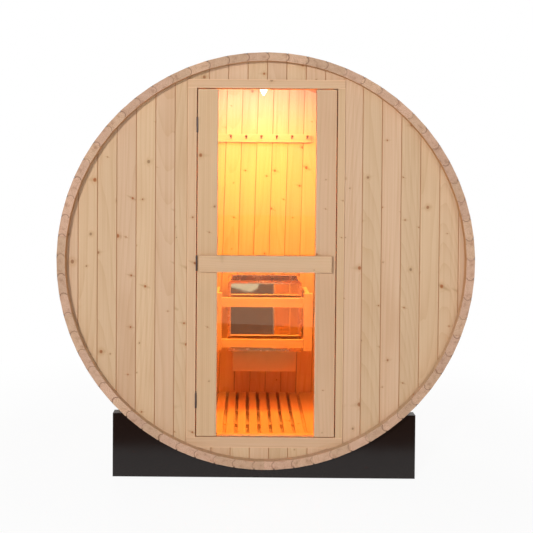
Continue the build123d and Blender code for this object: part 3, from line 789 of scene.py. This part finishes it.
def eased_slats():
    """Duckboard slats: a section with rounded corners drawn out along Y. The outermost sides follow the
    round, x = sqrt(R R - z z) about the barrel's axis."""
    low, high = (np.array(corner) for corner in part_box("floor_slats"))
    gaps = SLAT_FIRST_GAP + np.arange(SLAT_GAP_COUNT) * SLAT_PITCH
    middle_z, half_z = (low[2] + high[2]) / 2, (high[2] - low[2]) / 2
    turn, side_x, side_z = corner_turns()
    up = middle_z + side_z * half_z
    round_side = np.sqrt((STAVE_INSIDE - ROUND_CLEARANCE) ** 2 - (up - AXIS_HEIGHT) ** 2)
    left = np.stack([-round_side] + [np.full(len(up), gap + SLAT_GAP / 2) for gap in gaps])
    right = np.stack([np.full(len(up), gap - SLAT_GAP / 2) for gap in gaps] + [round_side])
    x = left + (side_x + 1) / 2 * (right - left) + SLAT_EASE * (np.cos(turn) - side_x)
    z = np.broadcast_to(up + SLAT_EASE * (np.sin(turn) - side_z), x.shape)
    middle_x = x.mean(axis=1, keepdims=True)
    rows = []
    for y, share in ((high[1], 0.0), (high[1], 1.0), (low[1], 1.0), (low[1], 0.0)):
        ring_x = middle_x + share * (x - middle_x)
        ring_z = middle_z + share * (z - middle_z)
        rows.append(np.stack((ring_x, np.full(x.shape, y), ring_z), axis=-1))
    points = np.stack(rows, axis=1).reshape(-1, 3)
    faces = several(len(rows) * len(turn), grid_faces(len(rows), len(turn)), len(x))
    piece("eased_floor_slats", points, faces, slat_wood("slat_wood"), False, ("floor_slats",))


STONE_ROWS = (9, 6, 3)
STONE_SIZE = 0.027
STONE_CUTS = 10
STONE_SHAKE = 0.006
STONE_LEVELS = (0.72, 1.0)
STONE_SHARES = (0.8, 1.05)
STONE_LONGEST = 1.12
STONE_LEAST_SLOPE = 0.05
STONE_MARGIN = 0.0005


def stone_heap(chance):
    """Broken stones packed in layers. A stone's surface in direction d is the nearest of random planes:
    r = min h / (d . n), with h from 0.72 to 1 of its size."""
    low, high = (np.array(corner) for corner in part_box("stove_stones"))
    ticks = [np.linspace(low[i] + STONE_SIZE, high[i] - STONE_SIZE, STONE_ROWS[i]) for i in range(3)]
    centres = np.stack(np.meshgrid(*ticks, indexing="ij"), axis=-1).reshape(-1, 3)
    count = len(centres)
    centres = centres + chance.uniform(-STONE_SHAKE, STONE_SHAKE, centres.shape)
    rows, sides = 7, 10
    down = np.linspace(-np.pi / 2, np.pi / 2, rows)
    ways = turned_profile(np.cos(down), np.sin(down), sides)
    normals = chance.normal(size=(count, STONE_CUTS, 3))
    normals /= np.linalg.norm(normals, axis=-1, keepdims=True)
    levels = chance.uniform(*STONE_LEVELS, (count, 1, STONE_CUTS))
    slope = np.einsum("wk,snk->swn", ways, normals)
    reach = levels / np.maximum(slope, STONE_LEAST_SLOPE)
    reach = np.where(slope > STONE_LEAST_SLOPE, reach, np.inf).min(axis=-1)
    reach = np.minimum(reach, STONE_LONGEST) * STONE_SIZE * chance.uniform(*STONE_SHARES, (count, 1))
    points = centres[:, None] + reach[..., None] * ways[None]
    points = np.clip(points, low + STONE_MARGIN, high - STONE_MARGIN).reshape(-1, 3)
    faces = several(len(ways), grid_faces(rows, sides), count)
    material = stone("stove_stone")
    piece("broken_stone_heap", points, faces, material, False, ("stove_stones",))


STOVE_SHEET = 0.0012
STOVE_RIM = 0.010
STOVE_LIP = 0.0025
STOVE_RECESS = 0.002
STOVE_STEP = 0.001
STOVE_FOOT = 0.005
STOVE_CORNER = 0.006
STOVE_EASE = 0.0006
BED_CORNER = 0.004
BED_CURL = 0.003
BED_CLEARANCE = 0.001
PANEL_BORDER = 0.016
PANEL_FOOT = 0.014
PANEL_HEAD = 0.0045
PANEL_CORNER = 0.005
PANEL_PROUD = 0.0025
PANEL_EASE = 0.0008


def stove_shell():
    """The stove's sheet-metal body: loops that run from the bed's floor up, over a mitred rim and down."""
    low, high = (np.array(corner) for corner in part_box("stove_body"))
    bed_low, bed_high = (np.array(corner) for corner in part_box("stove_stones"))
    half_x, half_y, _ = (high - low) / 2
    bed_x, bed_y, _ = (bed_high - bed_low) / 2 + BED_CLEARANCE
    x, y, _ = (low + high) / 2
    bed_middle = (bed_low[1] + bed_high[1]) / 2
    floor, top, bottom = bed_low[2] - BED_CLEARANCE / 2, high[2], low[2]
    sheet, rim, wide = STOVE_SHEET, STOVE_RIM, STOVE_CORNER
    narrow = wide - STOVE_STEP
    neck_x, neck_y = half_x - STOVE_RECESS, half_y - STOVE_RECESS
    lip, foot = top - rim - STOVE_LIP, bottom + STOVE_FOOT
    loops = (
        (0.0, 0.0, 0.0, bed_middle, floor),
        (bed_x, bed_y, BED_CORNER, bed_middle, floor),
        (bed_x, bed_y, BED_CORNER, bed_middle, top - BED_CURL),
        (bed_x + sheet, bed_y + sheet, narrow, bed_middle, top - sheet),
        (bed_x + 2 * sheet, bed_y + 2 * sheet, wide, bed_middle, top),
        (half_x - rim, half_y - rim, BED_CORNER, y, top),
        (half_x - sheet, half_y - sheet, wide, y, top - rim + sheet),
        (half_x, half_y, wide, y, top - rim),
        (half_x, half_y, wide, y, lip),
        (neck_x, neck_y, wide, y, lip - STOVE_STEP),
        (neck_x, neck_y, wide, y, foot + STOVE_STEP),
        (half_x, half_y, wide, y, foot),
        (half_x, half_y, wide, y, bottom + sheet),
        (half_x - sheet, half_y - sheet, narrow, y, bottom),
        (0.0, 0.0, 0.0, y, bottom),
    )
    points = np.concatenate([loop(a, b, corner, x, mid, height) for a, b, corner, mid, height in loops])
    faces = grid_faces(len(loops), len(points) // len(loops))[:, ::-1]
    made = piece("stove_sheet_body", points, faces, body_steel, instead_of=("stove_body",))
    soft_lines(made, STOVE_EASE, angle=30.0)


def stove_panel():
    """The polished panel on the stove's front: a rounded rectangle that stands proud of the sheet."""
    low, high = (np.array(corner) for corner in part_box("stove_body"))
    panel_low, panel_high = low[2] + PANEL_FOOT, high[2] - STOVE_RIM - PANEL_HEAD
    x, middle_z = (low[0] + high[0]) / 2, (panel_low + panel_high) / 2
    half_x, half_z = (high[0] - low[0]) / 2 - PANEL_BORDER, (panel_high - panel_low) / 2
    front = low[1] + STOVE_RECESS
    steps = ((0.0, 0.0), (0.0, PANEL_PROUD - PANEL_EASE), (PANEL_EASE, PANEL_PROUD), (half_x, PANEL_PROUD))
    rows = []
    for inset, out in steps:
        ring = loop(half_x - inset, max(half_z - inset, 0.0), PANEL_CORNER, x, middle_z, 0.0)
        rows.append(np.stack((ring[:, 0], np.full(len(ring), front - out), ring[:, 1]), axis=-1))
    points = np.concatenate(rows)
    faces = grid_faces(len(steps), len(points) // len(steps))
    panel = piece("stove_front_panel", points, faces, panel_steel)
    soft_lines(panel, PANEL_EASE / 2, angle=30.0)


chance = np.random.default_rng(11)
eased_slats()
turned_pegs()
turned_lamp()
stone_heap(chance)
stove_shell()
stove_panel()


# Floor, light and camera
WHITE = (1.0, 1.0, 1.0, 1.0)
FLOOR_REACH = 30.0
FLOOR_PALE = (0.86, 0.86, 0.86, 1.0)
FLOOR_WHITE_SHARE = 0.93
FLOOR_FADE_START = 1.1
FLOOR_FADE_END = 2.4
SKY_LIGHT = 0.2


def studio_white():
    """Pale floor that the camera sees almost plain white. Close to the cabin it keeps a soft shadow."""
    finish = Finish("studio_floor_white")
    diffuse = finish.node("ShaderNodeBsdfDiffuse", None, {"Color": FLOOR_PALE})
    shine = finish.node("ShaderNodeEmission", None, {"Color": WHITE, "Strength": 1.0})
    seen, _ = finish.sight()
    x, y, _ = finish.place()
    far = finish.between(finish.length(x, y), FLOOR_FADE_START, FLOOR_FADE_END)
    share = FLOOR_WHITE_SHARE + far * (1.0 - FLOOR_WHITE_SHARE)
    finish.node("ShaderNodeOutputMaterial", None, {"Surface": finish.blend(seen * share, diffuse, shine)})
    return finish.material


def studio_floor():
    """A plain floor all round, at the foot of the cradles."""
    corners = FLOOR_REACH * np.array([(-1, -1, 0), (1, -1, 0), (1, 1, 0), (-1, 1, 0)])
    ground = sheet_mesh("studio_floor", corners, np.array([(0, 1, 2, 3)]))
    ground.data.materials.append(studio_white())


def studio_sky():
    """Soft white light from all round, and plain white for what the camera, mirrors and glass see first.
    It sends no soft light in through the door's glass, so that the cabin keeps its warm light."""
    sky = Sky("studio_sky")
    seen, through_glass = sky.sight()
    strength = SKY_LIGHT * (1.0 - through_glass)
    soft = sky.node("ShaderNodeBackground", None, {"Color": WHITE, "Strength": strength})
    plain = sky.node("ShaderNodeBackground", None, {"Color": WHITE, "Strength": 1.0})
    sky.node("ShaderNodeOutputWorld", None, {"Surface": sky.blend(seen, soft, plain)})


def aim(thing, target):
    """Turns a lamp's own -Z to a point."""
    away = np.array(target) - np.array(thing.location)
    flat = math.hypot(away[0], away[1])
    thing.rotation_euler = (math.atan2(flat, -away[2]), 0.0, math.atan2(-away[0], away[1]))


def soft_lamp(name, place, target, size, power, colour=(1.0, 1.0, 1.0)):
    """A rectangular lamp at a place, turned to a target, that isn't seen itself. Metres and watts."""
    light = bpy.data.lights.new(name, "AREA")
    light.shape = "RECTANGLE"
    light.size, light.size_y = size
    light.energy = power
    light.color = colour
    made = bpy.data.objects.new(name, light)
    made.location = place
    bpy.context.scene.collection.objects.link(made)
    aim(made, target)
    for kind in ("camera", "glossy", "transmission"):
        setattr(made, f"visible_{kind}", False)


studio_floor()
studio_sky()

# White light outside, then warm light inside the cabin
soft_lamp("key_light", (-3.44, -8.66, 3.18), (0.0, -0.5, 0.96), (0.7, 0.7), 428.0)
soft_lamp("fill_light", (2.6, -5.2, 1.2), (0.0, -0.5, 0.96), (2.4, 2.4), 44.0)
soft_lamp("rear_light", (-2.6, 8.0, 3.4), (0.0, 0.5, 0.96), (2.4, 2.4), 300.0)
soft_lamp("left_light", (-7.5, 1.2, 3.0), (-0.9, 0.0, 0.96), (2.4, 2.4), 130.0)
soft_lamp("right_light", (7.5, 1.2, 3.0), (0.9, 0.0, 0.96), (2.4, 2.4), 200.0)
soft_lamp("cabin_glow", (0.0, -0.15, 1.62), (0.0, 0.20, 0.3), (0.5, 0.3), 26.0, (1.0, 0.405, 0.055))
soft_lamp("floor_glow", (0.0, -0.42, 0.75), (0.0, 0.15, 0.2), (0.4, 0.1), 2.6, (1.0, 0.37, 0.08))
soft_lamp("under_floor_glow", (0.0, -0.05, 0.172), (0.0, -0.05, 0.0), (0.6, 0.6), 0.6, (1.0, 0.16, 0.03))
soft_lamp("lamp_glow", (-0.05, 0.17, 1.73), (-0.05, 0.428, 1.74), (0.6, 0.10), 2.0, (1.0, 0.80, 0.72))


def card(name, corners, height, colour):
    """A flat glowing card low over the floor that only mirrors show, as a studio has round a polished
    thing: a painted reflection.
    """
    points = np.array([(x, y, height) for x, y in corners])
    made = sheet_mesh(name, points, np.arange(len(corners))[None])
    finish = Finish(name)
    shine = finish.node("ShaderNodeEmission", None, {"Color": colour_of(colour), "Strength": 1.0})
    clear = finish.node("ShaderNodeBsdfTransparent")
    mirrored = finish.out(finish.node("ShaderNodeLightPath"), "Glossy Depth").above(0.5)
    finish.node("ShaderNodeOutputMaterial", None, {"Surface": finish.blend(mirrored, clear, shine)})
    made.data.materials.append(finish.material)
    for kind in ("camera", "diffuse", "volume_scatter", "shadow"):
        setattr(made, f"visible_{kind}", False)


# Painted reflections of the ground in front, on glowing cards that only mirrors show: dark near the door,
# pale farther off, and one pale patch
NEAR_GROUND = [(-2.5, -4.40), (2.5, -3.38), (2.5, -0.78), (-2.5, -0.78)]
FAR_GROUND = [(-9.0, -20.0), (9.0, -20.0), (2.5, -3.38), (-2.5, -4.40)]
PALE_PATCH = [
    (0.48, -3.9), (0.935, -3.7), (0.905, -3.34),
    (0.84, -3.16), (0.752, -3.06), (0.575, -3.25),
]
GROUND_HEIGHT = 0.010
PATCH_HEIGHT = 0.014
card("dark_ground_reflection_card", NEAR_GROUND, GROUND_HEIGHT, (0.21, 0.09, 0.05))
card("warm_ground_reflection_card", FAR_GROUND, GROUND_HEIGHT, (1.05, 0.78, 0.55))
card("pale_patch_reflection_card", PALE_PATCH, PATCH_HEIGHT, (0.82, 0.66, 0.46))

CAMERA_PLACE = (-0.0829, -3.956, 1.3644)
CAMERA_PITCH = math.radians(1.183)
CAMERA_YAW = math.radians(-0.183)
CAMERA_ROLL = math.radians(0.408)
CAMERA_LENS = 54.43
CAMERA_SHIFT = (0.0417, -0.1537)


def photo_camera():
    """The camera at the photograph's place. Its pitch counts downwards and its yaw to the right.
    A positive roll lifts its right side."""
    camera = bpy.data.cameras.new("photo_camera")
    camera.sensor_width = 36.0
    camera.lens = CAMERA_LENS
    camera.shift_x, camera.shift_y = CAMERA_SHIFT
    camera.clip_start = 0.05
    camera.clip_end = 200.0
    view = bpy.data.objects.new("photo_camera", camera)
    pitch, yaw, roll = CAMERA_PITCH, CAMERA_YAW, CAMERA_ROLL
    forward = np.array((math.sin(yaw) * math.cos(pitch), math.cos(yaw) * math.cos(pitch), -math.sin(pitch)))
    level = np.array((math.cos(yaw), -math.sin(yaw), 0.0))
    upward = np.cross(level, forward)
    right = math.cos(roll) * level + math.sin(roll) * upward
    top = math.cos(roll) * upward - math.sin(roll) * level
    turned = np.eye(4)
    turned[:3, 0], turned[:3, 1], turned[:3, 2] = right, top, -forward
    turned[:3, 3] = CAMERA_PLACE
    view.matrix_world = Matrix(turned.tolist())
    bpy.context.scene.collection.objects.link(view)
    return view


bpy.context.scene.camera = photo_camera()
bpy.context.scene.view_settings.view_transform = "Standard"
